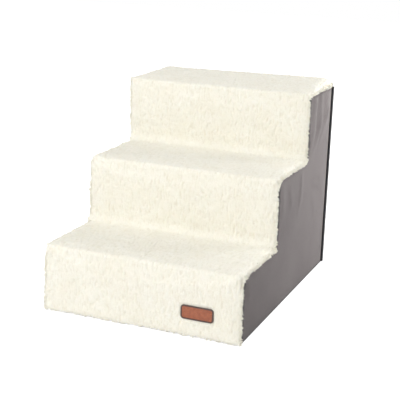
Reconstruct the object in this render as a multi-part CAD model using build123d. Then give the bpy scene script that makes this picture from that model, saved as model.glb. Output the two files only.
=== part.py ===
from build123d import *
import os
from collections import namedtuple
from math import cos, hypot, radians, sin

# Folding pet stairs: three fleece-covered steps on boards that lean back and lie flat.
#
# Four upright cross boards stand on a base board, and each step is a tread board that hangs between
# two of them. Every board is a fibreboard panel in a sewn sleeve, and a corded tape joins each pair,
# so the boards form a row of parallelograms. Two stair-shaped side panels close the ends. They hold
# on to the treads with hook-and-loop tape, and open outwards along the base before the steps fold.
#
# Frame: +Z up, the front of the stairs faces -Y, +X is to the right seen from the front, and the
# origin is on the floor under the middle of the object. Millimetres.

# Overall
step_count = 3
panel_width = 384.0           # over the outer faces of the two side panels
going = 174.0                 # front of one riser's fleece to the front of the next
rise = 131.5                  # top of one tread's fleece to the top of the next
pile_depth = 9.0              # fleece sheet with its pile
pile_overhang = 2.0           # how far the pile stands past a side panel's outer face
nose_radius = 13.0            # rounded front edge of each step
pile_edge_radius = 2.5        # rounding of the pile along both ends of a step
pile_settle = 0.5             # how much lower the pile lies at a step's ends than in the middle
tread_crown = 1.6             # swell of the pile on a tread, between its nose and its back edge
settle_shares = ((0, 0), (0.5, 0.25))     # share of the half width, share of the settling there
rim_angles = (0, 30, 60, 90)
hem_height = 1.0              # fleece hem above the floor

# Boards and sleeves
board_thickness = 5.0
sleeve_wall = 0.8
sleeve_round = 1.2            # the cloth turns round a board's long edges
clearance = 0.3               # between pieces that move past each other
floor_gap = 0.4               # under the cords that carry the side panels
rear_gap = 0.4                # a tread's back edge to the board behind it
side_gap = 1.4                # a tread's end to the side panel's lining
cross_inset = 2.5             # how much shorter a cross board is than a tread, each end
nosing_overhang = 2.5         # a tread board's front edge past its cross board's face

# Corded hinge tapes
cord_radius = 1.1
tape_thickness = 0.8
tape_width = 22.0

# Side panels
side_board_thickness = 4.0
side_cover_wall = 1.1
side_lining_wall = 0.9
side_corner_radius = 4.0

# Hook-and-loop fastening between treads and side panels
flap_thickness = 1.0
flap_drop = 12.0
flap_leg = 20.0
flap_inset = 16.0             # from the cross board's face to the flap's front end
flap_length = 38.0
hook_thickness = 0.8
loop_thickness = 0.8
loop_height = 16.0
loop_spare = 12.0             # loop tape left past each end of a flap

# Slack in the side covers, which hangs in a few long soft folds
fold_width = 18.0
fold_height = 1.6
fold_root = 0.5               # how deep a fold starts below the cover's face
fold_run_shares = (0, 0.2, 0.5, 0.8, 1)
fold_swell_shares = (0.25, 0.8, 1, 0.8, 0.25)
# Each fold runs between two points under step k: how far back as a share of the going, and how far
# down as a share of the rise
fold_place_shares = (
    (3, (0.07, 0.10), (0.07, 0.65)),
    (3, (0.51, 0.08), (0.14, 0.76)),
    (3, (0.70, 0.18), (0.35, 0.73)),
    (2, (0.11, 0.06), (0.16, 0.56)),
    (2, (0.35, 0.20), (0.47, 0.54)),
    (2, (0.82, 0.05), (0.79, 0.69)),
    (2, (1.26, 0.24), (1.80, 0.49)),
    (2, (1.22, 0.36), (1.78, 0.65)),
)

# Back board's edge binding
binding_wall = 0.8
binding_lap = 5.0
binding_stand = 3.5           # past the outer face of a side panel
binding_round = 2.0

# Feet
pad_radius = 14.0
pad_height = 2.0
pad_edge_chamfer = 0.8
pad_inset_x = 48.0
pad_inset_y = 36.0

# Woven patch on the front riser
patch_width = 62.0
patch_height = 26.0
patch_corner_radius = 6.0
patch_base_depth = 2.2        # how deep the patch's back is sewn into the pile
patch_stand = 0.5             # the patch's face in front of the pile
patch_border = 2.4
patch_border_stand = 0.9
patch_end_gap = 51.0          # from the patch to the step's right-hand end
patch_low_edge = 35.0         # above the floor

overrun = 10.0                # how far a cutting solid runs past what it cuts

# Levels and lines worked out from the sizes above
sleeved = board_thickness + 2 * sleeve_wall
side_thickness = side_cover_wall + side_board_thickness + side_lining_wall
hinge_offset = cord_radius + clearance
base_bottom = pad_height
base_top = base_bottom + sleeved
pivot_level = base_top + cord_radius
half_panel = panel_width / 2
half_tread = half_panel - side_thickness - side_gap
half_cross = half_tread - cross_inset
half_base = half_tread
half_fleece = half_panel + pile_overhang

front_to_back = step_count * going
depth_front = -patch_border_stand
depth_middle = (depth_front + front_to_back + hinge_offset + cord_radius) / 2

Span = namedtuple("Span", "low high")


def board_front(k):
    """Front face of upright board k, counted from 1 at the front; the last one is the back board."""
    if k > step_count:
        return step_count * going - sleeved - depth_middle
    return pile_depth + (k - 1) * going - depth_middle


def board_back(k):
    return board_front(k) + sleeved


def fleece_front(k):
    return board_front(k) - pile_depth


def fleece_back(k):
    """Back of a riser's fleece, which is sewn to the hinge tape on the cross board's face."""
    return board_front(k) - tape_thickness


def tread_top(k):
    """Top of tread k's sleeved board, which is the underside of its fleece."""
    return k * rise - pile_depth


def tread_under(k):
    return tread_top(k) - sleeved


def floor_pivot(k):
    """Hinge line between the base and upright board k, as (y, z)."""
    return board_back(k) + hinge_offset, pivot_level


def nose_pivot(k):
    """Hinge line between cross board k and its tread, as (y, z)."""
    return board_front(k) - hinge_offset, tread_under(k) - hinge_offset


def rear_pivot(k):
    """Hinge line between tread k's back edge and the next upright board, as (y, z)."""
    return board_front(k + 1) - hinge_offset, tread_under(k) - hinge_offset


side_pivot_x = half_panel - cord_radius
side_pivot_z = floor_gap + cord_radius
side_bottom = side_pivot_z + hinge_offset
side_rear = board_front(step_count + 1) - binding_wall - rear_gap
base_front = board_front(1)
base_rear = floor_pivot(step_count + 1)[0] + cord_radius - tape_thickness


def block(x, y, z):
    """Block between the low and high ends of three spans."""
    middle = [(s.low + s.high) / 2 for s in (x, y, z)]
    return Pos(*middle) * Box(x.high - x.low, y.high - y.low, z.high - z.low)


def across(profile, half_width):
    """Sweeps a (y, z) profile along X, half_width to each side."""
    return extrude(Plane.YZ * profile, amount=half_width, both=True)


def rectangle(y, z):
    """(y, z) rectangle between two spans."""
    return Pos((y.low + y.high) / 2, (z.low + z.high) / 2) * Rectangle(y.high - y.low, z.high - z.low)


def sleeved_board(half_width, y, z):
    """A fibreboard and the sewn sleeve that it slides into from the right, filling two spans."""
    inner_y = Span(y.low + sleeve_wall, y.high - sleeve_wall)
    inner_z = Span(z.low + sleeve_wall, z.high - sleeve_wall)
    inner_half = half_width - sleeve_wall
    board = block(Span(-inner_half, inner_half), inner_y, inner_z)
    sleeve = block(Span(-half_width, half_width), y, z)
    sleeve = fillet(sleeve.edges().filter_by(Axis.X), sleeve_round)
    sleeve -= block(Span(-inner_half, half_width + overrun), inner_y, inner_z)
    return board, sleeve


def corded_tape(pivot, leg_y, leg_z, half_width):
    """Hinge tape: a cord on the hinge line, sewn into the edge of a flat leg."""
    cord = Pos(*pivot) * Circle(cord_radius)
    return across(cord + rectangle(leg_y, leg_z), half_width)


def corner_of(profile, y, z):
    """The profile's corner nearest to a point."""
    return profile.vertices().sort_by_distance(Vector(y, z))[0]


def base_parts():
    board, sleeve = sleeved_board(half_base, Span(base_front, base_rear), Span(base_bottom, base_top))
    pads = []
    rows_y = (base_front + pad_inset_y, (base_front + base_rear) / 2, base_rear - pad_inset_y)
    for x in (-half_base + pad_inset_x, half_base - pad_inset_x):
        for y in rows_y:
            pad = Pos(x, y, pad_height / 2) * Cylinder(pad_radius, pad_height)
            pads.append(chamfer(pad.edges().sort_by(Axis.Z)[0], pad_edge_chamfer))
    hinges = []
    for k in range(1, step_count + 1):
        y, z = floor_pivot(k)
        hinges.append(corded_tape((y, z), Span(y, y + tape_width), Span(base_top, base_top + tape_thickness),
                                  half_cross))
    y, z = floor_pivot(step_count + 1)
    hinges.append(corded_tape((y, z), Span(base_rear, base_rear + tape_thickness), Span(base_bottom, z), half_cross))
    corner = base_corner_binding()
    return {
        "base_board": board,
        "base_sleeve": sleeve,
        "base_corner_bindings": Compound(children=[corner, mirror(corner, about=Plane.YZ)]),
        "anti_slip_pads": Compound(children=pads),
        "floor_hinge_tapes": Compound(children=hinges),
    }


def bound_edge(x, y, z):
    """Upright length of the binding on the right, rounded along its two outer edges."""
    strip = block(x, y, z)
    return fillet(strip.edges().filter_by(Axis.Z).group_by(Axis.X)[-1], binding_round)


def base_corner_binding():
    """The binding's last stretch, on the base sleeve's rear right corner, where it stays put."""
    last = step_count + 1
    y = Span(board_front(last) - binding_wall, board_back(last) + binding_wall)
    return bound_edge(Span(half_base, half_panel + binding_stand), y, Span(base_bottom, base_top))


def side_hinge_tape():
    """Corded tape under the right edge of the base, which carries the right side panel."""
    cord = Pos(side_pivot_x, side_pivot_z) * Circle(cord_radius)
    leg = rectangle(Span(half_base - tape_width, side_pivot_x), Span(pad_height - tape_thickness, pad_height))
    profile = Plane.XZ * (cord + leg)
    length = side_rear - base_front
    return Pos(0, side_rear, 0) * extrude(profile, amount=length)


def rear_tape(k):
    """Flat half of a floor hinge, on the back face of upright board k."""
    y = Span(board_back(k), board_back(k) + tape_thickness)
    low = pivot_level + hinge_offset
    return block(Span(-half_cross, half_cross), y, Span(low, low + tape_width))


def cross_parts(k):
    """Cross board k, which stands under the front edge of tread k."""
    top = tread_under(k) - clearance
    board, sleeve = sleeved_board(half_cross, Span(board_front(k), board_back(k)), Span(base_top + clearance, top))
    y, z = nose_pivot(k)
    front = board_front(k)
    nose = corded_tape((y, z), Span(front - tape_thickness, front), Span(z - tape_width, z), half_cross)
    return {
        f"cross_board_{k}": board,
        f"cross_sleeve_{k}": sleeve,
        f"cross_hinge_tape_{k}": rear_tape(k),
        f"nose_hinge_tape_{k}": nose,
    }


def back_binding(z):
    """Bound right edge of the back board, folded over both of its faces."""
    last = step_count + 1
    x = Span(half_panel - binding_lap, half_panel + binding_stand)
    y = Span(board_front(last) - binding_wall, board_back(last) + binding_wall)
    slot = block(Span(x.low - overrun, half_panel), Span(board_front(last), board_back(last)),
                 Span(z.low - overrun, z.high + overrun))
    return bound_edge(x, y, z) - slot


def back_parts():
    last = step_count + 1
    z = Span(base_top + clearance, tread_top(step_count) - clearance)
    board, sleeve = sleeved_board(half_panel, Span(board_front(last), board_back(last)), z)
    right = back_binding(z)
    return {
        "back_board": board,
        "back_sleeve": sleeve,
        "back_hinge_tape": rear_tape(last),
        "back_binding_right": right,
        "back_binding_left": mirror(right, about=Plane.YZ),
    }


def fleece_profile(k, inset):
    """(y, z) section of step k's fleece: riser, round nose and crowned tread, drawn in by inset."""
    front, back = fleece_front(k) + inset, fleece_back(k)
    hem = hem_height if k == 1 else (k - 1) * rise + clearance
    crest, under = k * rise - inset, tread_top(k)
    level = crest - tread_crown
    radius = nose_radius - inset
    crown_start = front + radius
    nose_back = board_front(k) - nosing_overhang - clearance
    shoulder = nose_pivot(k)[1] - cord_radius - clearance
    end = board_back(k + 1) if k == step_count else fleece_back(k + 1)
    nose = CenterArc((crown_start, level - radius), radius, start_angle=90, arc_size=90)
    crown = ThreePointArc((crown_start, level), ((crown_start + end) / 2, crest), (end, level))
    rest = Polyline((end, level), (end, under), (nose_back, under), (nose_back, shoulder), (back, shoulder),
                    (back, hem), (front, hem), (front, level - radius))
    return make_face(nose + crown + rest)


def fleece_panel(k):
    """Fleece of step k in one piece: settled towards its ends, and rounded where the pile is cut."""
    stations = [(share * half_fleece, settle * pile_settle) for share, settle in settle_shares]
    for angle in rim_angles:
        turn = radians(angle)
        stations.append((half_fleece - pile_edge_radius * (1 - sin(turn)),
                         pile_settle + pile_edge_radius * (1 - cos(turn))))
    left = [(-x, inset) for x, inset in reversed(stations) if x > 0]
    return loft([Plane.YZ.offset(x) * fleece_profile(k, inset) for x, inset in left + stations], ruled=True)


def end_flaps(k):
    """Right-hand flap under tread k, and the hook tape on its outer face."""
    y = Span(board_front(k) + flap_inset, board_front(k) + flap_inset + flap_length)
    face = half_tread - hook_thickness
    under = tread_under(k)
    leg = block(Span(face - flap_leg, face), y, Span(under - flap_thickness, under))
    drop = block(Span(face - flap_thickness, face), y, Span(under - flap_drop, under))
    hook = block(Span(face, half_tread), y, Span(under - flap_drop, under))
    return leg + drop, hook


def tread_parts(k):
    z = Span(tread_under(k), tread_top(k))
    y = Span(board_front(k) - nosing_overhang, board_front(k + 1) - rear_gap)
    board, sleeve = sleeved_board(half_tread, y, z)
    rear_y, rear_z = rear_pivot(k)
    rear = corded_tape((rear_y, rear_z), Span(rear_y - tape_width, rear_y), Span(z.low - tape_thickness, z.low),
                       half_cross)
    flap, hook = end_flaps(k)
    return {
        f"tread_board_{k}": board,
        f"tread_sleeve_{k}": sleeve,
        f"tread_hinge_tape_{k}": rear,
        f"tread_end_flaps_{k}": Compound(children=[flap, mirror(flap, about=Plane.YZ)]),
        f"tread_hook_tapes_{k}": Compound(children=[hook, mirror(hook, about=Plane.YZ)]),
        f"fleece_panel_{k}": fleece_panel(k),
    }


def stair_outline(inset):
    """Side panel's (y, z) outline, drawn in by inset all round."""
    bottom, rear = side_bottom + inset, side_rear - inset
    points = [(rear, bottom), (fleece_back(1) + clearance + inset, bottom)]
    noses = []
    for k in range(1, step_count + 1):
        front = fleece_back(k) + clearance + inset
        top = tread_top(k) - clearance - inset
        if k > 1:
            points.append((front, tread_top(k - 1) - clearance - inset))
        points.append((front, top))
        noses.append((front, top))
    points.append((rear, top))
    face = make_face(Polyline(*points, close=True))
    return fillet([corner_of(face, *nose) for nose in noses], side_corner_radius - inset)


def side_sheet(profile, outer, thickness):
    """A sheet of that profile, from x = outer inwards."""
    return Pos(outer - thickness, 0, 0) * extrude(Plane.YZ * profile, amount=thickness)


def cloth_fold(start, end):
    """Soft ridge on the right side cover's face, between two (y, z) points."""
    length = hypot(end[0] - start[0], end[1] - start[1])
    dy, dz = (end[0] - start[0]) / length, (end[1] - start[1]) / length
    sections = []
    for run, swell in zip(fold_run_shares, fold_swell_shares):
        at = (half_panel - fold_root, start[0] + run * length * dy, start[1] + run * length * dz)
        half, height = fold_width * swell / 2, (fold_height + fold_root) * swell
        outline = ThreePointArc((-half, 0), (0, height), (half, 0)) + Line((half, 0), (-half, 0))
        sections.append(Plane(origin=at, x_dir=(0, -dz, dy), z_dir=(0, dy, dz)) * make_face(outline))
    return loft(sections, ruled=True)


def side_folds():
    folds = []
    for k, *ends in fold_place_shares:
        places = [(board_front(k) + back * going, tread_top(k) - down * rise) for back, down in ends]
        folds.append(cloth_fold(*places))
    return folds


def side_parts(hand):
    """Stair-shaped panel on the right or left: grey cover, board, black lining and loop tapes."""
    inner = stair_outline(side_cover_wall)
    board_face = half_panel - side_cover_wall
    lining_face = board_face - side_board_thickness
    lining_back = half_panel - side_thickness
    cover = side_sheet(stair_outline(0), half_panel, side_thickness)
    cover -= side_sheet(inner, board_face, side_board_thickness + side_lining_wall + overrun)
    cover += side_folds()
    loops = []
    for k in range(1, step_count + 1):
        low = board_front(k) + flap_inset - loop_spare
        y = Span(low, low + flap_length + 2 * loop_spare)
        z = Span(tread_under(k) - loop_height, tread_under(k))
        loops.append(block(Span(lining_back - loop_thickness, lining_back), y, z))
    pieces = {
        f"side_cover_{hand}": cover,
        f"side_board_{hand}": side_sheet(inner, board_face, side_board_thickness),
        f"side_lining_{hand}": side_sheet(inner, lining_face, side_lining_wall),
        f"side_loop_tapes_{hand}": Compound(children=loops),
        f"side_hinge_tape_{hand}": side_hinge_tape(),
    }
    if hand == "left":
        return {name: mirror(piece, about=Plane.YZ) for name, piece in pieces.items()}
    return pieces


def patch_parts():
    """Plain woven patch, sewn into the pile of the lowest riser."""
    centre_x = half_fleece - patch_end_gap - patch_width / 2
    centre_z = patch_low_edge + patch_height / 2
    place = Plane(origin=(centre_x, fleece_front(1), centre_z), x_dir=(1, 0, 0), z_dir=(0, -1, 0))
    whole = RectangleRounded(patch_width, patch_height, patch_corner_radius)
    field = RectangleRounded(patch_width - 2 * patch_border, patch_height - 2 * patch_border,
                             patch_corner_radius - patch_border)
    sunk = place.offset(-patch_base_depth)
    border = extrude(sunk * (whole - field), amount=patch_base_depth + patch_border_stand)
    centre = extrude(sunk * field, amount=patch_base_depth + patch_stand)
    recess = extrude(sunk * whole, amount=patch_base_depth + overrun)
    return {"patch_field": centre, "patch_border": border}, recess


def all_parts():
    parts = base_parts()
    for k in range(1, step_count + 1):
        parts.update(cross_parts(k))
        parts.update(tread_parts(k))
    parts.update(back_parts())
    for hand in ("left", "right"):
        parts.update(side_parts(hand))
    patch, recess = patch_parts()
    parts.update(patch)
    parts["fleece_panel_1"] -= recess
    return parts


def main():
    os.makedirs("parts", exist_ok=True)
    for name, piece in all_parts().items():
        export_step(piece, f"parts/{name}.step")
    for k in range(1, step_count + 2):
        print("floor pivot", k, floor_pivot(k))
    for k in range(1, step_count + 1):
        print("nose pivot", k, nose_pivot(k))
    print("side pivot", side_pivot_x, side_pivot_z)
    print("middle", depth_middle, "pad", -half_base + pad_inset_x, base_front + pad_inset_y)


main()
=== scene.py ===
import math
import random

import bmesh
import bpy
import numpy as np
from mathutils import Matrix, Vector, noise


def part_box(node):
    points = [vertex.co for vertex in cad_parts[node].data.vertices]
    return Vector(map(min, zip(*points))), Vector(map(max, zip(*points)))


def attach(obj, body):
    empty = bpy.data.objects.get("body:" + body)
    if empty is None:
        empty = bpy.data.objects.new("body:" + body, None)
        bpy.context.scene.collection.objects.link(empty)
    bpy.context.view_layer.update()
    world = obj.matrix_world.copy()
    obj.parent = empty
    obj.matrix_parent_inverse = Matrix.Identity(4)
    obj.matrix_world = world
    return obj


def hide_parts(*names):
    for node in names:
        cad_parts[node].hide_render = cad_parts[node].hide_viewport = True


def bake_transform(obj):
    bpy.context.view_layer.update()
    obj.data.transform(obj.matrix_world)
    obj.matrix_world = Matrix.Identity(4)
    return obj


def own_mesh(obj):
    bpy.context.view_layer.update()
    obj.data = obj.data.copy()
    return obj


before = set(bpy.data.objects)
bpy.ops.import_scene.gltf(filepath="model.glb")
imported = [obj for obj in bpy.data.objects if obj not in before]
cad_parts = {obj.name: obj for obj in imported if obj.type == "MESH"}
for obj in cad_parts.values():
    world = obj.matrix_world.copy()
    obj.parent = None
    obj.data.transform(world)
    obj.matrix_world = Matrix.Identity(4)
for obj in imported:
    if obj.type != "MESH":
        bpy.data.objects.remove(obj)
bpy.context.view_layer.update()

# Three fleece-covered steps for a small pet. The boards, tapes, bindings and hinges are the solid
# model's. Made here are the fleece, the grey side covers, the stitches that show, and every finish.

MM = 0.001
STEPS = (1, 2, 3)
HANDS = {"right": 1, "left": -1}

# Fleece
VOXEL = 4 * MM
PRESSURE = 4
SIMULATED_FRAMES = 20
MOST_SWELL = 1.6 * MM
NOSE_ROUND = 16 * MM
FOOT_ROUND = 16 * MM          # hollow where a riser's fleece meets the tread below
PILE_HEIGHT = 2.7 * MM
CLUMP_WIDTH = 3.4 * MM
STREAK_LENGTH = 15.0 * MM
EDGE_TUFTS = 1500             # curls along each step's cut ends, about
TUFT_HEIGHT = 4.2 * MM
END_CUT = 184.8 * MM          # past this, from the middle, the fleece is made as end pieces

# Margins that tell the fleece's hidden back from its face
BACK_MARGIN = 2.6 * MM
CORNER_MARGIN = 3 * MM
UNDER_MARGIN = 1.6 * MM

# How far the fleece's cut ends stand out past the straight line, in millimetres, at the hem, the
# nose and the back of each step
END_REACH = {
    1: {"left": (6.0, 1.0, 1.5), "right": (1.0, 0.6, 1.8)},
    2: {"left": (3.0, -0.4, 0.5), "right": (1.0, 0.2, 1.2)},
    3: {"left": (-0.4, 2.2, 0.5), "right": (0.2, -0.2, 0.2)},
}

# How far the pile laps over the side panels' corners under each nose
NOSE_LAP = {1: 7 * MM, 2: 4 * MM, 3: 1 * MM}

# Grey side covers
COVER_CELL = 3 * MM
COVER_CLOTH = 0.9 * MM
COVER_FACE = 5.1 * MM         # from the lining's outer side to the cloth's face
TURNED_IN = (0.5, 1.5, 2.0, 2.0)    # the cloth over the board's edge, in millimetres
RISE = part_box("fleece_panel_2")[1].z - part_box("fleece_panel_1")[1].z
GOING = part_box("cross_sleeve_2")[0].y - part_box("cross_sleeve_1")[0].y

# Studio: the photograph's camera, and each lamp's name, place, size and power
CAMERA_PLACE = (0.7302, -1.8030, 0.7119)
CAMERA_ANGLES = (21.9, 15.4, 1.9)   # to the right of the front, down, and roll, in degrees
CAMERA_LENS = 91.5
LIT_POINT = Vector((0, 0, 0.18))
SOFT_LIGHT = 0.46
LAMPS = (
    ("key_softbox", (-0.8, -2.5, 1.20), 1.4, 32),
    ("top_softbox", (-0.2, -0.9, 2.5), 1.2, 18.5),
    ("side_softbox", (1.25, 0.80, 0.32), 0.5, 12.5),
    ("high_side_softbox", (0.70, 0.60, 0.80), 0.4, 1.6),
    ("rear_softbox", (0.5, 2.4, 0.75), 0.8, 9),
)


# Helpers for the mesh work

def clear_selection():
    if bpy.context.object and bpy.context.object.mode != "OBJECT":
        bpy.ops.object.mode_set(mode="OBJECT")
    bpy.ops.object.select_all(action="DESELECT")


def pick(piece):
    """Only this piece is selected and active."""
    clear_selection()
    piece.select_set(True)
    bpy.context.view_layer.objects.active = piece


def settle(piece):
    """Puts the piece's place and size into its mesh."""
    pick(piece)
    bpy.ops.object.transform_apply(location=True, rotation=True, scale=True)


def edit(piece):
    pick(piece)
    bpy.ops.object.mode_set(mode="EDIT")
    bpy.ops.mesh.select_all(action="DESELECT")


def leave_edit():
    bpy.ops.object.mode_set(mode="OBJECT")


def select_faces(piece, test):
    """Selects the faces whose middle and normal pass the test, and only those."""
    bpy.ops.mesh.select_mode(type="FACE")
    bpy.ops.mesh.select_all(action="DESELECT")
    mesh = bmesh.from_edit_mesh(piece.data)
    for face in mesh.faces:
        face.select_set(bool(test(face.calc_center_median(), face.normal)))
    bmesh.update_edit_mesh(piece.data)


def select_edges(piece, test):
    """Selects the edges whose two ends pass the test, and only those."""
    bpy.ops.mesh.select_mode(type="EDGE")
    bpy.ops.mesh.select_all(action="DESELECT")
    mesh = bmesh.from_edit_mesh(piece.data)
    for edge in mesh.edges:
        edge.select_set(bool(test(edge.verts[0].co, edge.verts[1].co)))
    bmesh.update_edit_mesh(piece.data)


def cut(co, normal):
    """Cuts the whole piece along a plane, in edit mode."""
    bpy.ops.mesh.select_all(action="SELECT")
    bpy.ops.mesh.bisect(plane_co=co, plane_no=normal)


def extrude(x=0, y=0, z=0):
    bpy.ops.mesh.extrude_region_move(TRANSFORM_OT_translate={"value": (x, y, z)})


def block(name, low, high):
    """Cube primitive between two corners."""
    clear_selection()
    low, high = Vector(low), Vector(high)
    bpy.ops.mesh.primitive_cube_add(size=1, location=(low + high) / 2)
    piece = bpy.context.object
    piece.name = piece.data.name = name
    piece.scale = high - low
    settle(piece)
    return piece


def copy_of(piece, name=None):
    """A copy with a mesh of its own. Thousands of them are quicker made without a name."""
    copy = piece.copy()
    copy.data = piece.data.copy()
    if name:
        copy.name = copy.data.name = name
    bpy.context.scene.collection.objects.link(copy)
    return copy


def apply_all(piece):
    pick(piece)
    for modifier in list(piece.modifiers):
        bpy.ops.object.modifier_apply(modifier=modifier.name)


def places(piece):
    """The mesh's points as an array, a row each."""
    co = np.empty(len(piece.data.vertices) * 3)
    piece.data.vertices.foreach_get("co", co)
    return co.reshape(-1, 3)


def normals(piece):
    found = np.empty(len(piece.data.vertices) * 3)
    piece.data.vertices.foreach_get("normal", found)
    return found.reshape(-1, 3)


def put(piece, co):
    piece.data.vertices.foreach_set("co", co.ravel())
    piece.data.update()


def smooth(piece, angle=40):
    pick(piece)
    bpy.ops.object.shade_smooth_by_angle(angle=math.radians(angle))


def swirl(co, scale, seed):
    """Smooth noise at each point, about -1 to 1; scale is the size of its lumps along each axis."""
    shift = Vector((seed * 17.3, seed * -9.1, seed * 5.7))
    spots = co / np.array(scale)
    return np.array([noise.noise(Vector(spot) + shift) for spot in spots])


def ramp(value, low, high):
    """Smooth step from 0 at low to 1 at high."""
    share = np.clip((value - low) / (high - low), 0, 1)
    return share * share * (3 - 2 * share)


# Materials

class Finish:
    """A new material and short ways to add nodes to it."""

    def __init__(self, name):
        self.material = bpy.data.materials.new(name)
        self.material.use_nodes = True
        self.nodes = self.material.node_tree.nodes
        self.links = self.material.node_tree.links
        self.shader = self.nodes["Principled BSDF"]
        self.coordinates = self.add("ShaderNodeTexCoord").outputs["Object"]

    def add(self, kind, **settings):
        node = self.nodes.new(kind)
        for name, value in settings.items():
            setattr(node, name, value)
        return node

    def join(self, source, target):
        self.links.new(source, target)

    def shade(self, **sockets):
        for name, value in sockets.items():
            self.shader.inputs[name.replace("_", " ")].default_value = value

    def mapping(self, scale):
        node = self.add("ShaderNodeMapping")
        node.inputs["Scale"].default_value = scale
        self.join(self.coordinates, node.inputs["Vector"])
        return node.outputs["Vector"]

    def grain(self, size, stretch=(1, 1, 1), detail=3.0, roughness=0.55):
        """Noise whose lumps are about size metres wide, longer along an axis where stretch is above 1."""
        node = self.add("ShaderNodeTexNoise")
        node.inputs["Scale"].default_value = 1.0
        node.inputs["Detail"].default_value = detail
        node.inputs["Roughness"].default_value = roughness
        self.join(self.mapping([1 / (size * s) for s in stretch]), node.inputs["Vector"])
        return node.outputs["Fac"]

    def dots(self, size, stretch=(1, 1, 1), randomness=1.0):
        """Cells size metres wide; 0 in the middle of each."""
        node = self.add("ShaderNodeTexVoronoi")
        node.inputs["Scale"].default_value = 1.0
        node.inputs["Randomness"].default_value = randomness
        self.join(self.mapping([1 / (size * s) for s in stretch]), node.inputs["Vector"])
        return node.outputs["Distance"]

    def waves(self, size, axis):
        """Ridges across an axis, size metres apart."""
        node = self.add("ShaderNodeTexWave", bands_direction=axis)
        node.inputs["Scale"].default_value = math.pi / 100 / size
        self.join(self.mapping((10.0, 10.0, 10.0)), node.inputs["Vector"])
        return node.outputs["Fac"]

    def blend(self, share, low, high):
        """Colour from low to high as share goes from 0 to 1."""
        node = self.add("ShaderNodeMix", data_type="RGBA")
        self.join(share, node.inputs[0])
        for socket, value in ((node.inputs[6], low), (node.inputs[7], high)):
            if hasattr(value, "is_linked"):
                self.join(value, socket)
            else:
                socket.default_value = (*value, 1)
        return node.outputs[2]

    def map(self, value, low, high, to_low=0.0, to_high=1.0):
        node = self.add("ShaderNodeMapRange")
        self.join(value, node.inputs["Value"])
        for name, number in (("From Min", low), ("From Max", high), ("To Min", to_low), ("To Max", to_high)):
            node.inputs[name].default_value = number
        return node.outputs["Result"]

    def math(self, kind, first, second):
        node = self.add("ShaderNodeMath", operation=kind)
        for socket, value in zip(node.inputs, (first, second)):
            if hasattr(value, "is_linked"):
                self.join(value, socket)
            else:
                socket.default_value = value
        return node.outputs[0]

    def relief(self, *layers):
        """Bumps, each given as (height, depth in metres), one on top of the other."""
        normal = None
        for height, depth in layers:
            node = self.add("ShaderNodeBump")
            node.inputs["Strength"].default_value = 1.0
            node.inputs["Distance"].default_value = depth
            self.join(height, node.inputs["Height"])
            if normal:
                self.join(normal, node.inputs["Normal"])
            normal = node.outputs["Normal"]
        self.join(normal, self.shader.inputs["Normal"])

    def colour(self, value):
        self.join(value, self.shader.inputs["Base Color"])

    def rough(self, value):
        self.join(value, self.shader.inputs["Roughness"])


def cream_fleece():
    finish = Finish("cream_fleece")
    height = finish.add("ShaderNodeAttribute", attribute_name="pile").outputs["Fac"]
    curls = finish.grain(1.6 * MM, (1, 1.6, 1.6), 4, 0.7)
    patches = finish.grain(45 * MM, (1, 1, 1), 2)
    tips = finish.blend(finish.map(patches, 0.35, 0.65), (0.92, 0.888, 0.775), (0.945, 0.918, 0.82))
    # painted shade in the pile's hollows: darker and yellower where the pile is low
    shaded_by_pile = finish.blend(finish.map(height, 0.05, 0.5), (0.828, 0.787, 0.664), tips)
    finish.colour(finish.blend(finish.map(curls, 0.3, 0.5), (0.87, 0.833, 0.712), shaded_by_pile))
    finish.relief((curls, 1.0 * MM), (finish.grain(0.5 * MM, (1, 1, 1), 2), 0.3 * MM))
    finish.shade(Roughness=0.95, Specular_IOR_Level=0.15, Sheen_Weight=0.4, Sheen_Roughness=0.5,
                 Subsurface_Weight=0.12, Subsurface_Scale=2 * MM)
    finish.shade(Sheen_Tint=(1.0, 0.99, 0.96, 1), Subsurface_Radius=(1.0, 0.8, 0.6))
    return finish.material


def grey_polyester():
    finish = Finish("grey_polyester")
    warp, weft = finish.waves(0.55 * MM, "Y"), finish.waves(0.55 * MM, "Z")
    weave = finish.math("MULTIPLY", warp, weft)
    shading = finish.grain(120 * MM, (1, 1, 1), 2)
    slubs = finish.grain(1.4 * MM, (1, 14, 1), 2)
    place = finish.add("ShaderNodeSeparateXYZ")
    finish.join(finish.coordinates, place.inputs[0])
    # painted light: the cloth's colour is lighter towards the top and the back and darker low at the front, where
    # less light falls
    upward = finish.map(place.outputs["Z"], 0, 0.4, 0, 0.4)
    backward = finish.map(place.outputs["Y"], -0.25, 0.25, 0, 0.6)
    lighter_share = finish.math("ADD", upward, backward)
    lit_gradient_and_blotches = finish.math("ADD", lighter_share, finish.map(shading, 0.3, 0.7, -0.12, 0.12))
    base = finish.blend(finish.map(lit_gradient_and_blotches, 0.1, 1), (0.084, 0.072, 0.072), (0.262, 0.236, 0.232))
    flecked = finish.blend(finish.map(slubs, 0.35, 0.8, 0, 0.22), base, (0.240, 0.213, 0.210))
    woven = finish.blend(finish.map(weave, 0, 0.5, 0.25, 1), (0.085, 0.074, 0.073), flecked)
    # painted shade: the cloth darkens almost to black in a ragged band where it turns in beside the fleece
    painted_shade = finish.add("ShaderNodeAttribute", attribute_name="shade_beside_fleece").outputs["Fac"]
    finish.colour(finish.blend(finish.map(painted_shade, 0, 1, 0, 0.95), woven, (0.030, 0.025, 0.026)))
    finish.rough(finish.map(slubs, 0.2, 0.8, 0.60, 0.74))
    finish.relief((weave, 0.05 * MM), (slubs, 0.04 * MM))
    finish.shade(Specular_IOR_Level=0.12, Sheen_Weight=0.02, Sheen_Roughness=0.4)
    return finish.material


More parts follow.
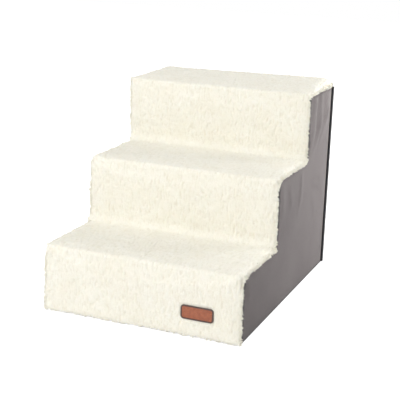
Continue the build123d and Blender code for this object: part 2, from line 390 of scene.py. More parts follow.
def black_nonwoven():
    finish = Finish("black_nonwoven")
    fibres = finish.grain(0.9 * MM, (3.2, 1, 1), 5, 0.7)
    crossing = finish.grain(0.9 * MM, (1, 1, 3.2), 5, 0.7)
    bonds = finish.dots(2.2 * MM, (1, 1, 1), 0.15)
    felt = finish.math("MAXIMUM", fibres, crossing)
    finish.colour(finish.blend(finish.map(felt, 0.4, 0.8), (0.012, 0.012, 0.013), (0.035, 0.035, 0.037)))
    finish.rough(finish.map(bonds, 0, 0.5, 0.55, 0.85))
    slack = finish.grain(70 * MM, (1, 1, 1), 2)
    finish.relief((slack, 5 * MM), (finish.map(bonds, 0.05, 0.35), 0.12 * MM), (felt, 0.10 * MM))
    finish.shade(Specular_IOR_Level=0.35, Sheen_Weight=0.10)
    return finish.material


def ribbed_black(name, rib, axis, dark, light):
    """Woven tape or binding with ribs across it."""
    finish = Finish(name)
    ribs = finish.waves(rib, axis)
    yarn = finish.grain(0.5 * MM, (1, 1, 1), 3)
    lighter_share = finish.grain(25 * MM, (1, 1, 1), 3)
    tone = finish.blend(finish.map(lighter_share, 0.45, 0.8), dark, light)
    finish.colour(finish.blend(finish.map(ribs, 0.1, 0.9), dark, tone))
    finish.rough(finish.map(yarn, 0.2, 0.8, 0.5, 0.75))
    finish.relief((ribs, 0.16 * MM), (yarn, 0.05 * MM))
    finish.shade(Specular_IOR_Level=0.4, Sheen_Weight=0.1)
    return finish.material


def fibreboard():
    finish = Finish("fibreboard")
    chips = finish.grain(1.2 * MM, (1, 1, 1), 5, 0.7)
    clouds = finish.grain(30 * MM, (1, 1, 1), 3)
    pale = finish.blend(finish.map(clouds, 0.3, 0.7), (0.30, 0.19, 0.10), (0.38, 0.25, 0.14))
    finish.colour(finish.blend(finish.map(chips, 0.35, 0.7), (0.20, 0.12, 0.06), pale))
    finish.relief((chips, 0.15 * MM))
    finish.shade(Roughness=0.8)
    return finish.material


def hook_and_loop():
    finish = Finish("hook_and_loop")
    hooks = finish.dots(1.1 * MM, (1, 1, 1), 0.35)
    fuzz = finish.grain(0.6 * MM, (1, 1, 1), 4, 0.7)
    finish.colour(finish.blend(finish.map(hooks, 0.1, 0.5), (0.045, 0.045, 0.048), (0.012, 0.012, 0.013)))
    finish.rough(finish.map(fuzz, 0.2, 0.8, 0.45, 0.8))
    finish.relief((finish.map(hooks, 0.5, 0.1), 0.5 * MM), (fuzz, 0.15 * MM))
    return finish.material


def pad_rubber():
    finish = Finish("pad_rubber")
    grain = finish.grain(0.8 * MM, (1, 1, 1), 3)
    dust = finish.grain(9 * MM, (1, 1, 1), 4)
    finish.colour(finish.blend(finish.map(dust, 0.45, 0.8), (0.020, 0.020, 0.021), (0.050, 0.048, 0.046)))
    finish.rough(finish.map(dust, 0.3, 0.7, 0.55, 0.8))
    finish.relief((grain, 0.08 * MM))
    return finish.material


def patch_thread(name, dark, light, turn):
    """Embroidered thread in close satin rows; turn slants the rows."""
    finish = Finish(name)
    rows = finish.add("ShaderNodeTexWave", bands_direction="DIAGONAL" if turn else "Z")
    rows.inputs["Scale"].default_value = math.pi / 100 / (0.5 * MM)
    rows.inputs["Distortion"].default_value = 0.6
    rows.inputs["Detail Scale"].default_value = 40.0
    finish.join(finish.mapping((10, 10, 10)), rows.inputs["Vector"])
    strands = finish.grain(0.35 * MM, (6, 1, 1), 2)
    tone = finish.blend(finish.map(finish.grain(6 * MM), 0.3, 0.7), dark, light)
    finish.colour(finish.blend(finish.map(rows.outputs["Fac"], 0.05, 0.6), [c * 0.55 for c in dark], tone))
    finish.rough(finish.map(strands, 0.2, 0.8, 0.38, 0.6))
    finish.relief((rows.outputs["Fac"], 0.18 * MM), (strands, 0.05 * MM))
    finish.shade(Sheen_Weight=0.2, Specular_IOR_Level=0.5)
    return finish.material


FLEECE = cream_fleece()
POLYESTER = grey_polyester()
NONWOVEN = black_nonwoven()
BINDING = ribbed_black("black_binding", 1.1 * MM, "Z", (0.010, 0.010, 0.011), (0.030, 0.030, 0.032))
WEBBING = ribbed_black("black_webbing", 1.6 * MM, "X", (0.014, 0.014, 0.015), (0.040, 0.040, 0.042))
BOARD = fibreboard()
HOOKS = hook_and_loop()
RUBBER = pad_rubber()
PATCH_FIELD = patch_thread("patch_rust", (0.40, 0.105, 0.042), (0.56, 0.165, 0.070), False)
PATCH_BORDER = patch_thread("patch_brown", (0.085, 0.042, 0.032), (0.150, 0.078, 0.058), True)

NODE_FINISHES = (
    ("board", BOARD), ("sleeve", NONWOVEN), ("hinge_tape", WEBBING), ("flaps", NONWOVEN),
    ("hook_tapes", HOOKS), ("loop_tapes", HOOKS), ("lining", NONWOVEN), ("binding", BINDING),
    ("pads", RUBBER), ("cover", POLYESTER), ("fleece", FLEECE), ("patch_field", PATCH_FIELD),
    ("patch_border", PATCH_BORDER),
)


def dress_nodes():
    """Gives every solid of the model its finish."""
    for name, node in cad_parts.items():
        for word, material in NODE_FINISHES:
            if word in name:
                node.data.materials.clear()
                node.data.materials.append(material)
                break
        smooth(node, 35)


def finish_with(piece, material, slot, *nodes):
    piece.data.materials.clear()
    piece.data.materials.append(material)
    if nodes:
        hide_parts(*nodes)


# Fleece

def fleece_shape(k):
    """Closed pad of step k: a riser and a tread in one, with a round nose."""
    low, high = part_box(f"fleece_panel_{k}")
    board_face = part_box(f"cross_sleeve_{k}")[0].y
    tread_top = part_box(f"tread_sleeve_{k}")[1].z
    swell = 1.2 * MM
    front, back, crest = low.y + swell, board_face - 1.2 * MM, high.z - swell
    half = high.x - swell
    hem = low.z - (0.4 if k == 1 else 3.6) * MM
    pad = block(f"fleece_{k}", (-half, front, tread_top), (half, high.y, crest))
    edit(pad)
    cut((0, back, 0), (0, 1, 0))
    select_faces(pad, lambda at, normal: normal.z < -0.9 and at.y < back)
    extrude(z=hem - tread_top)
    select_edges(pad, lambda a, b: abs(a.y - front) < 1e-5 and abs(b.y - front) < 1e-5
                 and abs(a.z - crest) < 1e-5 and abs(b.z - crest) < 1e-5)
    bpy.ops.mesh.bevel(offset=NOSE_ROUND, segments=9, profile=0.5)
    select_edges(pad, lambda a, b: abs(abs(a.x) - half) < 1e-5 and abs(abs(b.x) - half) < 1e-5 and a.x * b.x > 0)
    bpy.ops.mesh.bevel(offset=2.9 * MM, segments=3, profile=0.5)
    bpy.ops.mesh.select_all(action="SELECT")
    bpy.ops.mesh.normals_make_consistent(inside=False)
    leave_edit()
    remesh = pad.modifiers.new("even_cells", "REMESH")
    remesh.mode = "VOXEL"
    remesh.voxel_size = VOXEL
    apply_all(pad)
    # the remesh's last digit varies from run to run, and the simulation would make more of it
    put(pad, np.round(places(pad), 4))
    return pad, board_face, tread_top


def lies_on_boards(co, board_face, tread_top):
    """True where the pad's back lies against its two boards."""
    riser_back = (co[:, 1] > board_face - BACK_MARGIN) & (co[:, 2] < tread_top - CORNER_MARGIN)
    tread_under = (co[:, 2] < tread_top + UNDER_MARGIN) & (co[:, 1] > board_face)
    return riser_back | tread_under


def swell_pad(pad, board_face, tread_top):
    """Lets the pad swell as stuffed cloth, held where it lies on its boards, by MOST_SWELL at most."""
    start = places(pad)
    held = pad.vertex_groups.new(name="held")
    held.add([int(i) for i in np.flatnonzero(lies_on_boards(start, board_face, tread_top))], 1.0, "REPLACE")
    cloth = pad.modifiers.new("stuffing", "CLOTH")
    cloth.settings.vertex_group_mass = "held"
    cloth.settings.use_pressure = True
    cloth.settings.uniform_pressure_force = PRESSURE
    cloth.settings.effector_weights.gravity = 0
    cloth.settings.quality = 4
    cloth.collision_settings.use_collision = False
    cloth.point_cache.frame_start, cloth.point_cache.frame_end = 1, SIMULATED_FRAMES
    scene = bpy.context.scene
    for number in range(1, SIMULATED_FRAMES + 1):
        scene.frame_set(number)
    shown = pad.evaluated_get(bpy.context.evaluated_depsgraph_get())
    moved = np.array([vertex.co for vertex in shown.data.vertices]) - start
    pad.modifiers.remove(cloth)
    scene.frame_set(1)
    length = np.linalg.norm(moved, axis=1, keepdims=True)
    kept = MOST_SWELL * np.tanh(length / MOST_SWELL) / np.maximum(length, 1e-9)
    put(pad, start + moved * kept)
    pad.vertex_groups.clear()


def finer_front(pad, board_face, tread_top):
    """Divides the faces that show into cells fine enough for the pile."""
    def hidden(at):
        riser_back = at.y > board_face - BACK_MARGIN and at.z < tread_top - CORNER_MARGIN
        tread_under = at.y > board_face and tread_top + UNDER_MARGIN - VOXEL < at.z < tread_top + UNDER_MARGIN
        return riser_back or tread_under

    edit(pad)
    select_faces(pad, lambda at, normal: not hidden(at))
    bpy.ops.mesh.subdivide(number_cuts=2, smoothness=0.6)
    leave_edit()


def hollow(distance):
    """How far the pile fills an inner corner, at a distance from the other face."""
    inside = np.clip(FOOT_ROUND - distance, 0, 0.87 * FOOT_ROUND)
    return FOOT_ROUND - np.sqrt(FOOT_ROUND ** 2 - inside ** 2)


def lap_ends(co, k, board_face, tread_top):
    """The cut ends wander, stand out, lap over the side panels' corners and droop."""
    low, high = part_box(f"fleece_panel_{k}")
    run = co[:, 1] + co[:, 2]
    hem, nose, back = low.y + low.z, low.y + high.z, high.y + high.z
    along = np.column_stack([np.sign(co[:, 0]), run / (38 * MM), np.full(len(co), k * 3.0)])
    wander = np.array([noise.noise(Vector(spot)) for spot in along]) * 1.4
    corner = np.hypot(co[:, 1] - board_face, co[:, 2] - tread_top)
    for hand, side in HANDS.items():
        reach = np.interp(run, (hem, nose, back), END_REACH[k][hand]) + wander
        near_end = ramp(side * co[:, 0], high.x - 50 * MM, high.x)
        rim = ramp(side * co[:, 0], high.x - 5.5 * MM, high.x - 0.8 * MM)
        lap = NOSE_LAP[k] * (1 - ramp(corner, 2 * MM, 20 * MM)) * rim
        co[:, 0] += side * (near_end * np.maximum(reach, -0.8) * MM + 0.25 * lap)
        co[:, 1] += lap
        co[:, 2] -= lap
        drop = 1.8 * MM * ramp(side * co[:, 0], high.x - 15 * MM, high.x) ** 2
        co[:, 2] -= drop * ramp(co[:, 2], tread_top + 1.5 * MM, high.z - 2 * MM)


def fill_corners(co, k, board_face, tread_top):
    """A riser and the tread below it run into each other in a hollow."""
    low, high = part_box(f"fleece_panel_{k}")
    if k > STEPS[0]:
        co[:, 1] -= hollow(co[:, 2] - low.z) * ramp(board_face - co[:, 1], 2 * MM, 6 * MM)
    if k < STEPS[-1]:
        next_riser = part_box(f"fleece_panel_{k + 1}")[0].y
        on_tread = ramp(co[:, 2], tread_top + UNDER_MARGIN, high.z - 2.5 * MM)
        co[:, 2] += hollow(next_riser - co[:, 1]) * on_tread


def wave_hem(co):
    """The lowest riser's hem isn't quite level."""
    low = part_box("fleece_panel_1")[0]
    near_hem = 1 - ramp(co[:, 2], low.z, low.z + 25 * MM)
    wave = np.array([noise.noise(Vector((x / (70 * MM), 5.0, 0))) for x in co[:, 0]])
    co[:, 2] += near_hem * (0.4 + wave) * 0.5 * MM


def puff_up(co, tread_top):
    """The top step stands up towards its back, more at the right."""
    low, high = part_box("fleece_panel_3")
    across = 0.45 + 0.55 * ramp(co[:, 0], low.x, high.x)
    across *= 1 - 0.7 * ramp(np.abs(co[:, 0]), high.x - 28 * MM, high.x) ** 2
    top = ramp(co[:, 2], tread_top + 1.5 * MM, high.z - 1 * MM)
    co[:, 2] += 8 * MM * top * across * ramp(co[:, 1], low.y + 25 * MM, high.y - 20 * MM)


def pressed_by_patch(co):
    """How much the pile is held down at each point, 1 under the patch and 0 away from it."""
    low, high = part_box("patch_border")
    across = np.maximum(low.x - co[:, 0], co[:, 0] - high.x)
    upward = np.maximum(low.z - co[:, 2], co[:, 2] - high.z)
    return 1 - ramp(np.maximum(across, upward), 0, 5 * MM)


def raise_pile(pad, k, board_face, tread_top):
    """Clumps and combed streaks of pile on every face that shows."""
    co = places(pad)
    shows = ~lies_on_boards(co, board_face, tread_top)
    lap_ends(co, k, board_face, tread_top)
    fill_corners(co, k, board_face, tread_top)
    if k == STEPS[0]:
        wave_hem(co)
    if k == STEPS[-1]:
        puff_up(co, tread_top)
    put(pad, co)
    out = normals(pad)
    run = np.column_stack([co[:, 0], co[:, 1] + co[:, 2], co[:, 1] - co[:, 2]])
    streaks = swirl(run, (CLUMP_WIDTH * 0.7, STREAK_LENGTH, STREAK_LENGTH), k)
    clumps = swirl(run, (CLUMP_WIDTH * 1.6, CLUMP_WIDTH * 2.4, CLUMP_WIDTH * 2.4), k + 10)
    fine = swirl(co, (2.2 * MM,) * 3, k + 20)
    waves = swirl(co, (55 * MM, 40 * MM, 40 * MM), k + 30)
    pile = 0.5 + 0.5 * streaks + 0.2 * clumps + 0.32 * fine
    rise = shows * (PILE_HEIGHT * (pile - 0.45) + 0.6 * MM * waves)
    if k == 1:
        rise -= pressed_by_patch(co) * (co[:, 1] < board_face - 6 * MM) * (1.6 * MM + 0.7 * rise)
    put(pad, co + out * rise[:, None])
    # the pile's height, which the fleece's material also reads to paint shade where the pile is low
    attribute = pad.data.attributes.new("pile", "FLOAT", "POINT")
    attribute.data.foreach_set("value", np.clip(pile, 0, 1).astype(np.float32))


def lock_of_pile():
    """One small curl of fleece, root at the origin and tip along +Z."""
    clear_selection()
    bpy.ops.mesh.primitive_cone_add(vertices=5, radius1=1.15 * MM, radius2=0.25 * MM, depth=TUFT_HEIGHT,
                                    location=(0, 0, TUFT_HEIGHT / 2))
    lock = bpy.context.object
    lock.name = "lock"
    settle(lock)
    edit(lock)
    for level in (1.2, 2.4, 3.4):
        cut((0, 0, level * MM), (0, 0, 1))
    leave_edit()
    co = places(lock)
    height = co[:, 2] / TUFT_HEIGHT
    co[:, 0] += 1.5 * MM * height ** 2
    co[:, :2] *= (1 + 0.45 * np.sin(height * math.pi))[:, None]
    put(lock, co)
    # painted shade towards each curl's root: the material reads a low pile value there
    attribute = lock.data.attributes.new("pile", "FLOAT", "POINT")
    attribute.data.foreach_set("value", (0.35 + 0.6 * height).astype(np.float32))
    return lock


def edge_tufts(pad, k, lock):
    """Ragged curls along the cut ends and the hem, a copy of the lock each."""
    low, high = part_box(f"fleece_panel_{k}")
    ends = []
    for vertex in pad.data.vertices:
        at, out = vertex.co, vertex.normal
        at_end = abs(at.x) > high.x - 3.2 * MM and abs(out.x) > 0.35
        at_hem = k == 1 and at.z < low.z + 2 * MM and out.y < -0.2 and at.y < low.y + 5 * MM
        if at_end or at_hem:
            ends.append((at.copy(), out.copy()))
    share = round(EDGE_TUFTS / len(ends), 2)
    tufts = []
    for at, out in ends:
        # each place draws its own numbers, so one place more or less changes none of the others
        chance = random.Random(f"{k} {at.x:.4f} {at.y:.4f} {at.z:.4f}")
        if chance.random() > share:
            continue
        lean = Vector([chance.uniform(-0.6, 0.6) for _ in range(3)]) + Vector((0, -0.15, -0.35))
        turn = (out + lean).to_track_quat("Z", "X").to_matrix().to_4x4()
        size = chance.uniform(0.7, 1.35)
        tuft = copy_of(lock)
        spin = Matrix.Rotation(chance.uniform(0, 2 * math.pi), 4, "Z")
        tuft.matrix_world = Matrix.Translation(at - out * 1.6 * MM) @ turn @ spin @ Matrix.Scale(size, 4)
        tufts.append(tuft)
    return tufts


def sew_on(piece, tufts):
    """Joins the tufts to the piece; none reaches below the floor."""
    clear_selection()
    for tuft in tufts:
        tuft.select_set(True)
    piece.select_set(True)
    bpy.context.view_layer.objects.active = piece
    if tufts:
        bpy.ops.object.join()
    co = places(piece)
    co[:, 2] = np.maximum(co[:, 2], 0.1 * MM)
    put(piece, co)


def keep_beyond(piece, co, normal):
    """Cuts the piece along a plane, keeps what lies on the side the normal points to, and closes the cut."""
    edit(piece)
    bpy.ops.mesh.select_all(action="SELECT")
    bpy.ops.mesh.bisect(plane_co=co, plane_no=normal, use_fill=True, clear_inner=True)
    bpy.ops.mesh.mark_sharp()
    leave_edit()


def make_fleece_end(end, k, hand, part, body, corner, way, tufts):
    """Half of one end of a step's fleece: it laps over the side panel's edge."""
    side = HANDS[hand]
    piece = copy_of(end, f"fleece_{k}_{part}_end_{hand}")
    keep_beyond(piece, corner, (0, way, way))
    own = [tuft for tuft in tufts if side * tuft.location.x > END_CUT
           and way * (tuft.location.y + tuft.location.z - corner.y - corner.z) > 0]
    sew_on(piece, own)
    smooth(piece, 180)
    finish_with(piece, FLEECE, "cream_fleece")
    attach(piece, body)
    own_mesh(piece)
    return own


def make_fleece(k, lock):
    """Step k's fleece: the pad between the side panels, which bends at the nose, and its four end pieces."""
    pad, board_face, tread_top = fleece_shape(k)
    swell_pad(pad, board_face, tread_top)
    finer_front(pad, board_face, tread_top)
    raise_pile(pad, k, board_face, tread_top)
    tufts = edge_tufts(pad, k, lock)
    corner = Vector((0, board_face, tread_top))
    for hand, side in HANDS.items():
        end = copy_of(pad, "fleece_end")
        keep_beyond(end, (side * END_CUT, 0, 0), (side, 0, 0))
        for part, body, way in (("riser", f"cross_{k}", -1), ("tread", f"tread_{k}", 1)):
            own = make_fleece_end(end, k, hand, part, body, corner, way, tufts)
            tufts = [tuft for tuft in tufts if tuft not in own]
        bpy.data.objects.remove(end)
        keep_beyond(pad, (side * END_CUT, 0, 0), (-side, 0, 0))
    sew_on(pad, tufts)
    smooth(pad, 180)
    finish_with(pad, FLEECE, "cream_fleece", f"fleece_panel_{k}")
    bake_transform(pad)


# Grey side covers

# Long soft folds that the slack hangs in: the step, then two ends as shares of the going behind the
# step's board and of the rise below its tread, then the fold's width and height in millimetres
FOLDS = (
    (3, (0.16, 0.45), (0.07, 0.85), 24, 2.3),
    (3, (0.46, 0.35), (0.16, 0.90), 26, 3.7),
    (3, (0.76, 0.25), (0.40, 0.80), 25, 3.3),
    (2, (0.11, 0.06), (0.16, 0.60), 26, 1.9),
    (2, (0.37, 0.20), (0.47, 0.54), 26, 1.7),
    (2, (0.82, 0.05), (0.74, 0.69), 25, 2.1),
    (2, (1.26, 0.24), (1.80, 0.49), 26, 2.0),
    (2, (1.22, 0.36), (1.78, 0.65), 26, 1.8),
    (3, (0.92, 0.05), (0.80, 0.45), 16, 1.3),
    (2, (1.30, 0.60), (1.45, 0.95), 30, 0.9),
    (1, (0.10, 0.03), (0.20, 0.40), 26, 1.0),
)


def fold_height(y, z, fold):
    """How far a fold lifts the cover at each (y, z)."""
    k, start, end, width, height = fold
    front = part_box(f"cross_sleeve_{k}")[0].y
    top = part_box(f"tread_sleeve_{k}")[1].z
    (y0, z0), (y1, z1) = [(front + back * GOING, top - down * RISE) for back, down in (start, end)]
    length = math.hypot(y1 - y0, z1 - z0)
    dy, dz = (y1 - y0) / length, (z1 - z0) / length
    along = ((y - y0) * dy + (z - z0) * dz) / length
    bend = 0.12 * length * np.sin(np.clip(along, 0, 1) * math.pi)
    away = (y - y0) * dz - (z - z0) * dy + bend * 0.4
    reach = width * MM * np.where(away > 0, 0.36, 0.52)
    ends = ramp(along, -0.18, 0.30) * (1 - ramp(along, 0.70, 1.18))
    return height * MM * ends * np.exp(-(away / reach) ** 2)


def notches():
    """The front and top of the panel's two notches, at the second and the third riser."""
    return [(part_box(f"cross_sleeve_{k}")[0].y - 0.5 * MM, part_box(f"tread_sleeve_{k - 1}")[1].z - 0.3 * MM)
            for k in STEPS[1:]]


def cover_shape(hand):
    """The cover's cloth: a stair-shaped face with its edges turned inwards."""
    low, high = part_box(f"side_board_{hand}")
    wall = 1.1 * MM
    low, high = low - Vector((0, wall, wall)), high + Vector((0, wall, wall))
    clear_selection()
    bpy.ops.mesh.primitive_grid_add(x_subdivisions=round((high.z - low.z) / COVER_CELL),
                                    y_subdivisions=round((high.y - low.y) / COVER_CELL), size=1,
                                    rotation=(0, math.pi / 2, 0))
    cover = bpy.context.object
    cover.name = cover.data.name = f"side_cloth_{hand}"
    cover.scale = (high.z - low.z, high.y - low.y, 1)
    cover.location = (0, (low.y + high.y) / 2, (low.z + high.z) / 2)
    settle(cover)
    steps = notches()
    edit(cover)
    for front, top in steps:
        cut((0, front, 0), (0, 1, 0))
        cut((0, 0, top), (0, 0, 1))
    select_faces(cover, lambda at, normal: any(at.y < front and at.z > top for front, top in steps))
    bpy.ops.mesh.delete(type="FACE")
    bpy.ops.mesh.select_all(action="DESELECT")
    bpy.ops.mesh.select_mode(type="EDGE")
    bpy.ops.mesh.select_non_manifold(extend=False)
    for turned in TURNED_IN:
        extrude(x=-turned * MM)
    leave_edit()
    return cover, low, high


def cover_relief(y, z, low, high, hand):
    """Folds, slack and the flat hem along the rear edge."""
    relief = sum(fold_height(y, z, fold) for fold in FOLDS)
    grid = np.column_stack([np.full(len(y), 3.0 if hand == "right" else 7.0), y / (90 * MM), z / (70 * MM)])
    slack = np.array([noise.noise(Vector(spot)) for spot in grid])
    small = np.array([noise.noise(Vector(spot) * 3.1) for spot in grid])
    upper = 0.35 + 0.65 * ramp(z, low.z + 0.2 * RISE, low.z + 1.4 * RISE)
    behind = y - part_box("cross_sleeve_3")[0].y - 20 * MM
    gathers = np.sin(behind / (45 * MM) * 2 * math.pi + 0.8 * small) * (1 - 0.5 * ramp(behind, 60 * MM, 120 * MM))
    gathers = (0.7 + gathers) * ramp(z, high.z - 110 * MM, high.z - 30 * MM) * ramp(behind, -18 * MM, 0)
    relief = relief + upper * (1.0 * MM + 0.9 * MM * slack + 0.35 * MM * small) + 1.9 * MM * gathers
    hem = ramp(y, high.y - 15 * MM, high.y - 13.5 * MM)
    relief = relief * (1 - 0.7 * hem) + 0.35 * MM * hem
    return np.where(relief > 0, relief, 0.1 * relief)


def from_outline(y, z, low, high):
    """How far each point of the face lies from the panel's outline."""
    distance = np.minimum.reduce([y - low.y, high.y - y, z - low.z, high.z - z])
    for front, top in notches():
        distance = np.minimum(distance, np.maximum(y - front, top - z))
    return distance


def groove_beside_risers(y, z, low, high):
    """1 where the cloth turns in early, beside the lower two risers, which leaves a dark groove."""
    front, top = notches()[0]
    second = ramp(z, top, top + 20 * MM) * (1 - ramp(z, high.z - RISE - 12 * MM, high.z - RISE))
    second *= 1 - ramp(y, front + 12 * MM, front + 16 * MM)
    first = (1 - ramp(z, top - 8 * MM, top)) * (1 - ramp(y, low.y + 12 * MM, low.y + 16 * MM))
    return second + 0.8 * first


def shade_beside_fleece(y, z, low, high):
    """Painted shade: 1 where the cloth turns in against the fleece, and 0 away from it."""
    behind_riser, below_tread = y - low.y, high.z - z
    for front, top in notches():
        behind_riser = np.where(z > top, y - front, behind_riser)
    for front, top in reversed(notches()):
        below_tread = np.where(y < front, top - z, below_tread)
    ragged = 1 + 0.5 * np.array([noise.noise(Vector((1.0, (a + b) / (9 * MM), 0))) for a, b in zip(y, z)])
    return np.maximum(1 - ramp(behind_riser, 5 * MM, 14 * MM * ragged),
                      0.6 * (1 - ramp(below_tread, 0, 7 * MM * ragged)))


def turn_outwards(cover, side):
    """Makes the faces' normals agree, and point away from the stairs."""
    edit(cover)
    bpy.ops.mesh.select_all(action="SELECT")
    bpy.ops.mesh.normals_make_consistent(inside=False)
    leave_edit()
    if sum(p.normal.x for p in cover.data.polygons if abs(p.normal.x) > 0.9) * side < 0:
        edit(cover)
        bpy.ops.mesh.select_all(action="SELECT")
        bpy.ops.mesh.flip_normals()
        leave_edit()


def make_side_cover(hand, side):
    """The grey cloth over a side panel's board, in loose folds, turned in over the board's edges."""
    cover, low, high = cover_shape(hand)
    co = places(cover)
    face = co[:, 0] > -1e-6
    turned = np.abs(co[:, 0])
    y, z = co[:, 1], co[:, 2]
    to_edge = from_outline(y, z, low, high)
    lifted = cover_relief(y, z, low, high, hand) * ramp(to_edge, 0, 12 * MM)
    # the outline is flat on the board's edge, and rounds over to the face
    groove = groove_beside_risers(y, z, low, high)
    bend, depth = (3 + 6 * groove) * MM, (0.9 + 0.8 * groove) * MM
    rounded = depth * (1 - np.sqrt(np.clip(1 - (1 - np.clip(to_edge / bend, 0, 1)) ** 2, 0, 1)))
    # painted shade along the fleece's edges, which the cloth's material darkens
    attribute = cover.data.attributes.new("shade_beside_fleece", "FLOAT", "POINT")
    attribute.data.foreach_set("value", np.where(face, shade_beside_fleece(y, z, low, high), 1).astype(np.float32))
    outer = max(side * corner.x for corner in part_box(f"side_lining_{hand}")) + COVER_FACE
    co[:, 0] = side * np.where(face, outer + lifted - rounded, outer - 0.9 * MM - turned)
    put(cover, co)
    turn_outwards(cover, side)
    solid = cover.modifiers.new("cloth_thickness", "SOLIDIFY")
    solid.thickness = COVER_CLOTH
    solid.offset = -1
    apply_all(cover)
    smooth(cover, 60)
    finish_with(cover, POLYESTER, "grey_polyester", f"side_cover_{hand}")
    depth, tall, hem = high.y - low.y, high.z - low.z, sum(TURNED_IN) * MM
    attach(cover, f"side_{hand}")


# Sewing

def joined_copies(name, pattern, turns):
    """One piece made of a copy of the pattern at each place; the pattern itself goes."""
    copies = []
    for turn in turns:
        copy = copy_of(pattern)
        copy.matrix_world = turn
        copies.append(copy)
    clear_selection()
    for copy in copies:
        copy.select_set(True)
    bpy.context.view_layer.objects.active = copies[0]
    bpy.ops.object.join()
    bpy.data.objects.remove(pattern)
    piece = bpy.context.object
    piece.name = piece.data.name = name
    settle(piece)
    smooth(piece, 60)
    return piece


def lock_stitch():
    """One visible stitch of a seam, 3 mm long: X along the seam, sunk at its ends, face to +Z."""
    stitch = block("lock_stitch", (-1.5 * MM, -0.3 * MM, -0.3 * MM), (1.5 * MM, 0.3 * MM, 0.25 * MM))
    edit(stitch)
    for level in (-1.0, -0.5, 0, 0.5, 1.0):
        cut((level * MM, 0, 0), (1, 0, 0))
    select_edges(stitch, lambda a, b: abs(a.x - b.x) > 1e-5)
    bpy.ops.mesh.bevel(offset=0.16 * MM, segments=1)
    leave_edit()
    co = places(stitch)
    co[:, 2] -= 0.3 * MM * np.abs(co[:, 0] / (1.5 * MM)) ** 3
    co[:, 1] *= 1 - 0.35 * np.abs(co[:, 0] / (1.5 * MM)) ** 3
    put(stitch, co)
    return stitch


def seam(start, end, out, pitch=4.1 * MM):
    """Places for a row of stitches between two points on a face that looks towards out."""
    start, end, out = Vector(start), Vector(end), Vector(out)
    along = (end - start).normalized()
    turn = Matrix((along, out.cross(along), out)).transposed().to_4x4()
    count = max(2, round((end - start).length / pitch))
    return [Matrix.Translation(start.lerp(end, (number + 0.5) / count)) @ turn for number in range(count)]


def make_back_seams():
    """Rows of stitches on the back panel: along its bindings, its top hem and its hinge tape."""
    low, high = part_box("back_sleeve")
    tape_low, tape_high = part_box("back_hinge_tape")
    binding_low, binding_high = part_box("back_binding_right")
    turns = []
    for side in (-1, 1):
        x = side * (binding_low.x + 1.8 * MM)
        turns += seam((x, binding_high.y, low.z + 4 * MM), (x, binding_high.y, high.z - 3 * MM), (0, 1, 0))
    edge = binding_low.x - 3 * MM
    turns += seam((-edge, high.y, high.z - 7 * MM), (edge, high.y, high.z - 7 * MM), (0, 1, 0))
    for z in (tape_low.z + 2.5 * MM, tape_high.z - 2.5 * MM):
        turns += seam((tape_low.x + 3 * MM, tape_high.y, z), (tape_high.x - 3 * MM, tape_high.y, z), (0, 1, 0))
    thread = joined_copies("back_seam_thread", lock_stitch(), turns)
    finish_with(thread, WEBBING, "black_webbing")
    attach(thread, "back")


# Patch

def satin_stitch(length):
    """One flat stitch of the patch's rim: X along the rim, Z across it, face to -Y."""
    stitch = block("satin_stitch", (-0.27 * MM, -0.3 * MM, -length / 2), (0.27 * MM, 0.25 * MM, length / 2))
    edit(stitch)
    for level in (-0.3, 0, 0.3):
        cut((0, 0, level * length), (0, 0, 1))
    select_edges(stitch, lambda a, b: abs(a.z - b.z) > 1e-5 and a.y < 0 and b.y < 0)
    bpy.ops.mesh.bevel(offset=0.14 * MM, segments=2)
    leave_edit()
    co = places(stitch)
    co[:, 1] += 0.3 * MM * (2 * co[:, 2] / length) ** 4
    put(stitch, co)
    return stitch


def rim_path(half_x, half_z, radius, spacing):
    """Places and outward directions along a rounded rectangle, evenly spaced."""
    spots, corner = [], radius * math.pi / 2
    straight_x, straight_z = 2 * (half_x - radius), 2 * (half_z - radius)
    sides = ((straight_x, 0), (straight_z, 90), (straight_x, 180), (straight_z, 270))
    total = 2 * (straight_x + straight_z) + 4 * corner
    for number in range(round(total / spacing)):
        left = number * spacing
        for length, turn in sides:
            across, up = (half_x, half_z) if turn % 180 == 0 else (half_z, half_x)
            if left < length:
                spot, out = Vector((left - length / 2, 0, -up)), Vector((0, 0, -1))
                break
            left -= length
            if left < corner:
                angle = left / radius
                out = Vector((math.sin(angle), 0, -math.cos(angle)))
                spot = Vector((across - radius, 0, radius - up)) + out * radius
                break
            left -= corner
        around = Matrix.Rotation(-math.radians(turn), 3, "Y")
        spots.append((around @ spot, around @ out))
    return spots


def make_patch_rim():
    """Satin stitches side by side over the patch's border, as on an embroidered badge."""
    low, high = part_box("patch_border")
    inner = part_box("patch_field")[0].x - low.x
    length = inner + 0.3 * MM
    middle = Vector(((low.x + high.x) / 2, low.y, (low.z + high.z) / 2))
    half_x, half_z = (high.x - low.x - inner) / 2, (high.z - low.z - inner) / 2
    stitch = satin_stitch(length)
    turns = []
    for spot, out in rim_path(half_x, half_z, 6 * MM - inner / 2, 0.58 * MM):
        along = Vector((0, 1, 0)).cross(out)
        turn = Matrix((along, Vector((0, 1, 0)), out)).transposed().to_4x4()
        turns.append(Matrix.Translation(middle + spot) @ turn)
    rim = joined_copies("patch_rim_stitches", stitch, turns)
    finish_with(rim, PATCH_BORDER, "patch_brown")
    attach(rim, "cross_1")


# Studio

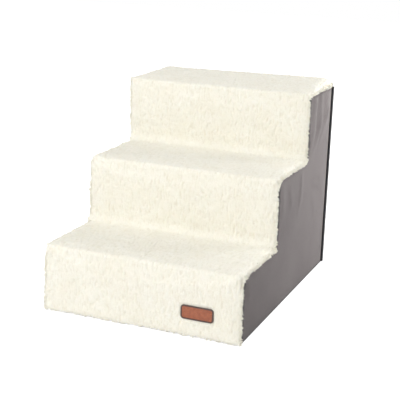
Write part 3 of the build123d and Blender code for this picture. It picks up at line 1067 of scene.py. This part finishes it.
def make_stage():
    """A pale floor that keeps the shadow and fades into the white background."""
    clear_selection()
    bpy.ops.mesh.primitive_plane_add(size=12, location=(0, 0, -0.2 * MM))
    floor = bpy.context.object
    floor.name = "studio_floor"
    finish = Finish("studio_floor")
    speckle = finish.grain(8 * MM, (1, 1, 1), 2)
    finish.colour(finish.blend(speckle, (0.86, 0.86, 0.86), (0.88, 0.88, 0.88)))
    finish.shade(Roughness=0.9, Specular_IOR_Level=0.1)
    path = finish.add("ShaderNodeLightPath")
    glow = finish.add("ShaderNodeEmission")
    seen = finish.math("MAXIMUM", path.outputs["Is Camera Ray"],
                       finish.math("MAXIMUM", path.outputs["Is Glossy Ray"], path.outputs["Is Transmission Ray"]))
    span = finish.add("ShaderNodeVectorMath", operation="LENGTH")
    finish.join(finish.coordinates, span.inputs[0])
    white = finish.map(span.outputs["Value"], 0.7, 1.3, 0.75, 1.0)
    finish.join(finish.math("MULTIPLY", seen, white), glow.inputs["Strength"])
    both = finish.add("ShaderNodeAddShader")
    finish.join(finish.shader.outputs[0], both.inputs[0])
    finish.join(glow.outputs[0], both.inputs[1])
    finish.join(both.outputs[0], finish.nodes["Material Output"].inputs["Surface"])
    floor.data.materials.append(finish.material)


def make_world():
    """Soft light from all round; what the camera sees of it is white."""
    world = bpy.data.worlds.new("studio")
    bpy.context.scene.world = world
    world.use_nodes = True
    nodes, links = world.node_tree.nodes, world.node_tree.links
    soft = nodes["Background"]
    soft.inputs["Color"].default_value = (1, 1, 1, 1)
    soft.inputs["Strength"].default_value = SOFT_LIGHT
    white = nodes.new("ShaderNodeBackground")
    white.inputs["Color"].default_value = (1, 1, 1, 1)
    white.inputs["Strength"].default_value = 1.0
    path = nodes.new("ShaderNodeLightPath")
    seen = path.outputs["Is Camera Ray"]
    for other in ("Is Glossy Ray", "Is Transmission Ray"):
        more = nodes.new("ShaderNodeMath")
        more.operation = "MAXIMUM"
        links.new(seen, more.inputs[0])
        links.new(path.outputs[other], more.inputs[1])
        seen = more.outputs[0]
    mix = nodes.new("ShaderNodeMixShader")
    links.new(seen, mix.inputs[0])
    links.new(soft.outputs[0], mix.inputs[1])
    links.new(white.outputs[0], mix.inputs[2])
    links.new(mix.outputs[0], nodes["World Output"].inputs["Surface"])


def lamp(name, place, size, power):
    """A round soft light that looks at the stairs."""
    light = bpy.data.lights.new(name, "AREA")
    light.shape = "DISK"
    light.size = size
    light.energy = power
    holder = bpy.data.objects.new(name, light)
    bpy.context.scene.collection.objects.link(holder)
    holder.location = place
    holder.rotation_euler = (LIT_POINT - Vector(place)).to_track_quat("-Z", "Y").to_euler()


def make_camera():
    """The photograph's view: 22 degrees to the right of the front and 15 above it, slightly rolled."""
    turn, tilt, roll = (math.radians(angle) for angle in CAMERA_ANGLES)
    ahead = Vector((-math.sin(turn) * math.cos(tilt), math.cos(turn) * math.cos(tilt), -math.sin(tilt)))
    across = Vector((math.cos(turn), math.sin(turn), 0))
    upward = across.cross(ahead)
    right = across * math.cos(roll) + upward * math.sin(roll)
    top = upward * math.cos(roll) - across * math.sin(roll)
    camera = bpy.data.objects.new("photo_camera", bpy.data.cameras.new("photo_camera"))
    bpy.context.scene.collection.objects.link(camera)
    facing = Matrix((right, top, -ahead)).transposed().to_4x4()
    camera.matrix_world = Matrix.Translation(CAMERA_PLACE) @ facing
    camera.data.sensor_width = 36
    camera.data.lens = CAMERA_LENS
    bpy.context.scene.camera = camera


make_camera()
make_stage()
make_world()
for row in LAMPS:
    lamp(*row)
bpy.context.scene.view_settings.view_transform = "Standard"

dress_nodes()
curl = lock_of_pile()
for step in STEPS:
    make_fleece(step, curl)
bpy.data.objects.remove(curl)
for hand_name, hand_side in HANDS.items():
    make_side_cover(hand_name, hand_side)
make_patch_rim()
make_back_seams()
